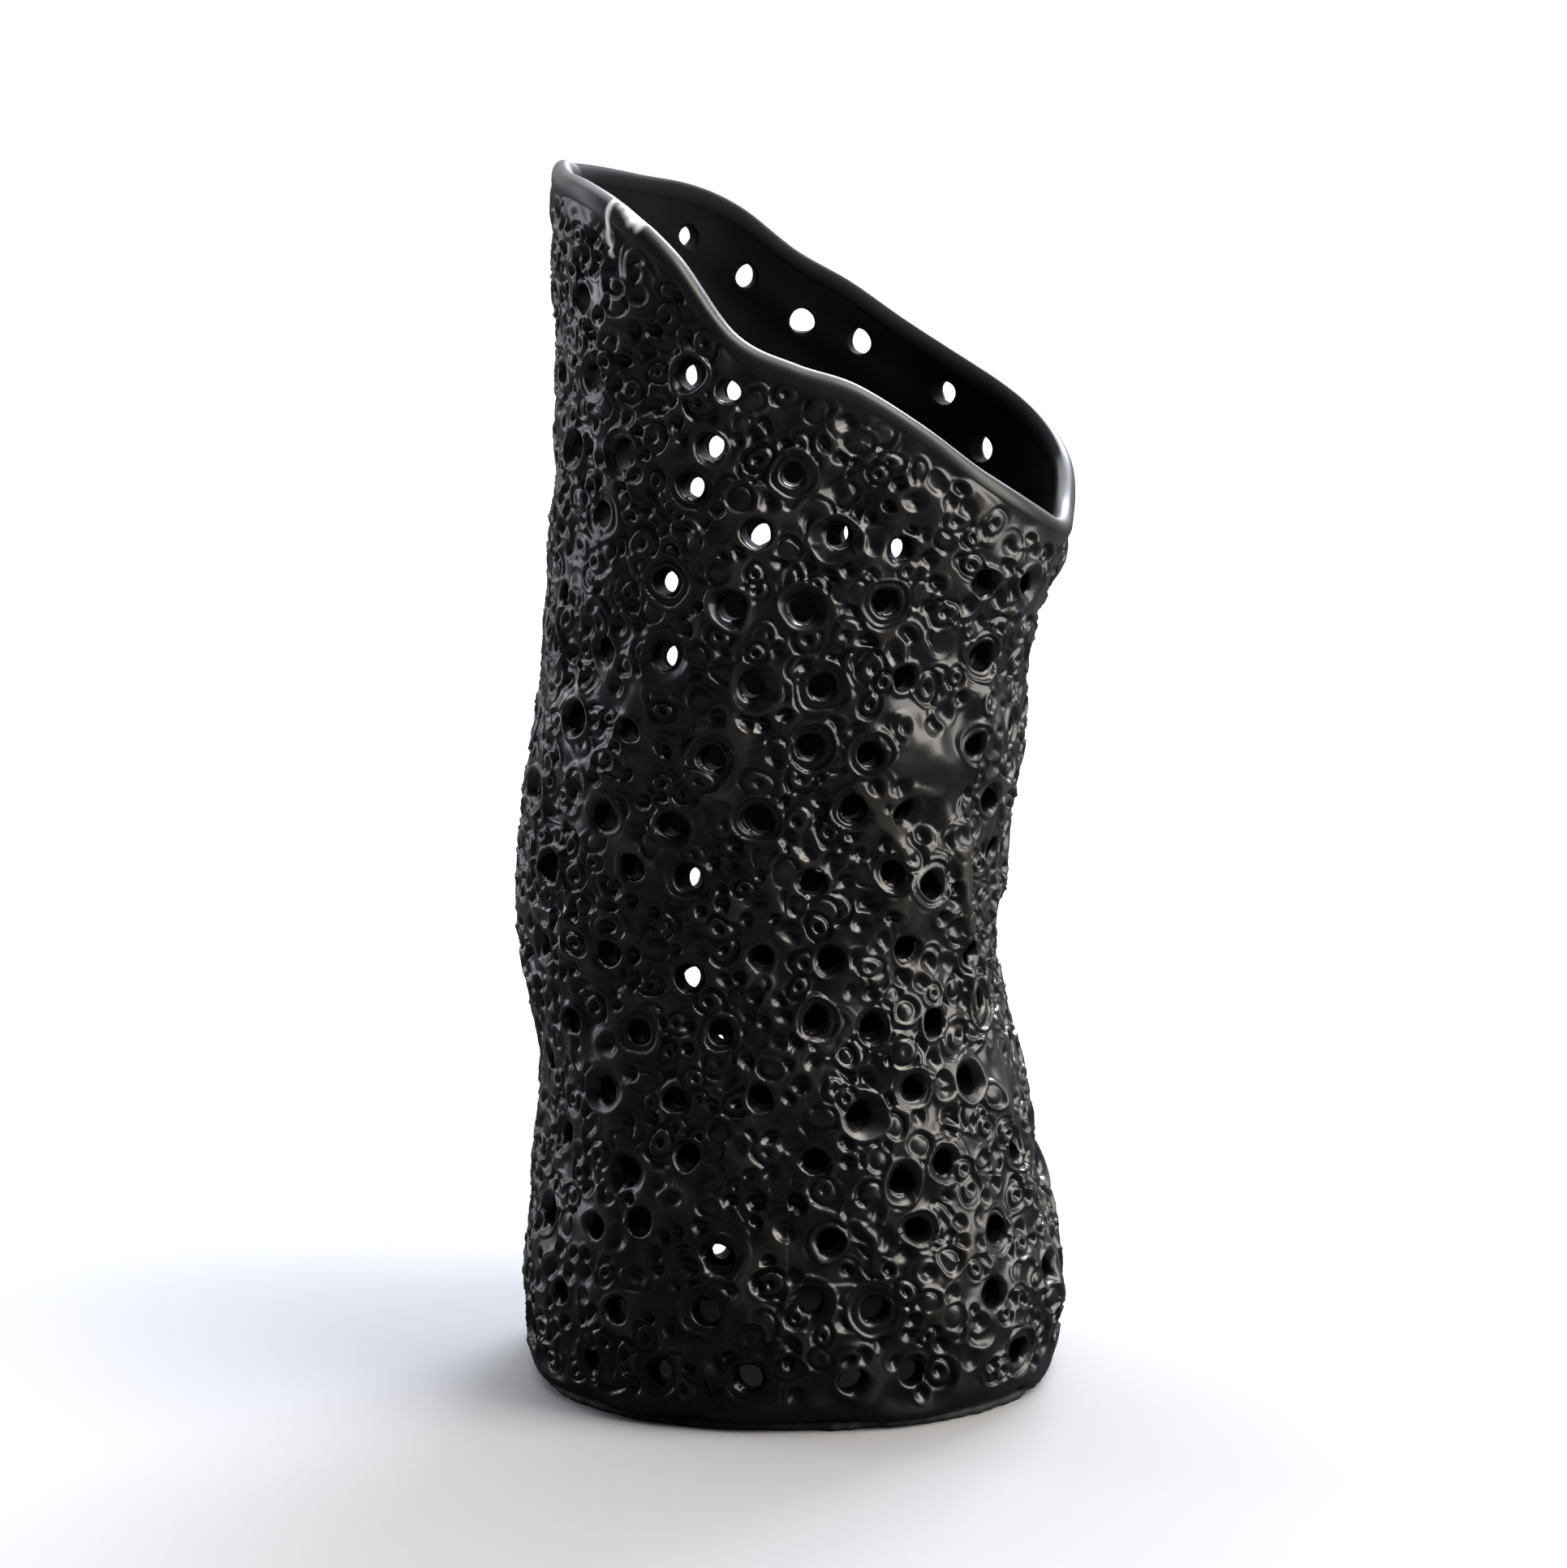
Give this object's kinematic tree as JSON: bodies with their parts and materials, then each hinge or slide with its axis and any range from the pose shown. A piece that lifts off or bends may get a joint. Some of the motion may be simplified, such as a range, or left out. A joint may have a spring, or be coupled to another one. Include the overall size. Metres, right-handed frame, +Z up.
{
  "type": "vase",
  "caption": "Tall hand-built black clay vase with a slanted mouth, a smooth rounded lip and a stamped wall pierced all over.",
  "frame": {"origin": "on the table, in the middle of the vase's plan", "axes": "+Z up, +X towards the low side of the mouth, -Y towards the viewer"},
  "size_m": [0.1324, 0.122, 0.29],
  "materials": {
    "stamped_wall": "satin black, lighter on the ridges",
    "lip": "glossy black",
    "floor": "matt black"
  },
  "bodies": {
    "root": {"wall_slab": "stamped_wall", "floor_slab": "floor", "rim_coil": "lip", "floor_joint_coil": "floor", "wall_seam_coil": "stamped_wall"}
  },
  "joints": []
}
